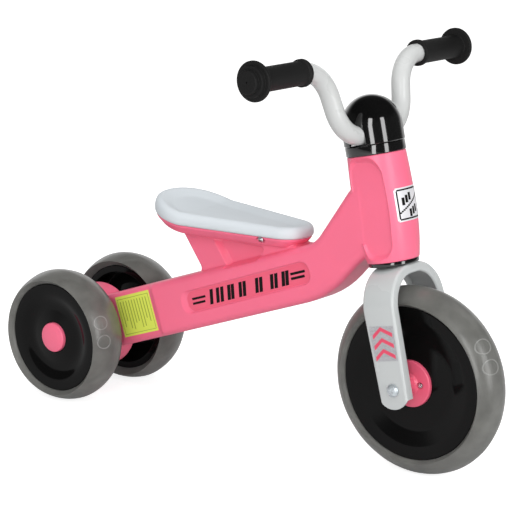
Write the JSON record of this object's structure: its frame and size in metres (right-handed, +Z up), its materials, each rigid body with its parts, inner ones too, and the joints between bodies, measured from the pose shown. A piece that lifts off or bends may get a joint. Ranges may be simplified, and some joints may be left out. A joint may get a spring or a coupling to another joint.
{
  "type": "balance bike",
  "caption": "Toddler's balance bike: hollow moulded body with a saddle and small rear wheels, a raked steering head, a pressed steel fork with a larger front wheel, and a bent handlebar.",
  "frame": {"origin": "centre of the bounding box's bottom face, on the floor that the wheels stand on", "axes": "+X towards the front wheel, +Y towards the rider's left, +Z up; the bike is symmetric about the plane y = 0 apart from the front axle's head and nut"},
  "size_m": [0.5964, 0.362, 0.4203],
  "materials": {
    "body_plastic": "satin moulded pink plastic",
    "saddle_plastic": "fine matt pale plastic",
    "gloss_black_plastic": "glossy moulded black plastic",
    "hub_plastic": "satin moulded pink plastic",
    "grip_rubber": "matt black soft rubber",
    "grey_paint": "smooth pale grey powder coat",
    "tyre": "grey half-clear soft plastic, glossy",
    "zinc_steel": "bright zinc plating",
    "black_nylon": "plain black nylon",
    "light_plastic": "clear moulded plastic"
  },
  "bodies": {
    "frame": {"body_shell": "body_plastic", "saddle": "saddle_plastic", "seat_screw_left": "zinc_steel", "seat_screw_right": "zinc_steel", "upper_headset_bush": "gloss_black_plastic", "lower_headset_bush": "gloss_black_plastic", "rear_axle": "zinc_steel", "rear_spacer_left": "black_nylon", "rear_spacer_right": "black_nylon", "axle_push_nut_left": "zinc_steel", "axle_push_nut_right": "zinc_steel"},
    "steering": {"fork": "grey_paint", "steerer_tube": "grey_paint", "stem_plug": "black_nylon", "stem_bolt": "zinc_steel", "stem_nut": "zinc_steel", "handlebar": "grey_paint", "stem_cover": "gloss_black_plastic", "grip_left": "grip_rubber", "grip_right": "grip_rubber", "front_axle_bolt": "zinc_steel", "front_axle_nut": "zinc_steel"},
    "front_wheel": {"front_tyre": "tyre", "front_rim_left": "gloss_black_plastic", "front_rim_right": "gloss_black_plastic", "front_bush": "black_nylon", "front_hub_cap_left": "hub_plastic", "front_hub_cap_right": "hub_plastic", "front_light": "light_plastic", "front_hub_screw_left_1": "zinc_steel", "front_hub_screw_left_2": "zinc_steel", "front_hub_screw_left_3": "zinc_steel", "front_hub_screw_right_1": "zinc_steel", "front_hub_screw_right_2": "zinc_steel", "front_hub_screw_right_3": "zinc_steel"},
    "rear_left_wheel": {"rear_left_tyre": "tyre", "rear_left_rim": "gloss_black_plastic", "rear_left_bush": "black_nylon", "rear_left_hub_cap": "hub_plastic", "rear_left_light": "light_plastic"},
    "rear_right_wheel": {"rear_right_tyre": "tyre", "rear_right_rim": "gloss_black_plastic", "rear_right_bush": "black_nylon", "rear_right_hub_cap": "hub_plastic", "rear_right_light": "light_plastic"}
  },
  "joints": [
    {"name": "steering", "type": "hinge", "parent": "frame", "child": "steering", "pos_m": [0.19584, 0, 0.09329], "axis": [-0.225, 0, 0.9744], "range_deg": [-60, 60]},
    {"name": "front_wheel_spin", "type": "hinge", "parent": "steering", "child": "front_wheel", "pos_m": [0.20325, 0, 0.095], "axis": [0, 1, 0], "continuous": true},
    {"name": "rear_left_spin", "type": "hinge", "parent": "frame", "child": "rear_left_wheel", "pos_m": [-0.22575, 0.0532, 0.0725], "axis": [0, 1, 0], "continuous": true},
    {"name": "rear_right_spin", "type": "hinge", "parent": "frame", "child": "rear_right_wheel", "pos_m": [-0.22575, -0.0532, 0.0725], "axis": [0, 1, 0], "continuous": true}
  ]
}
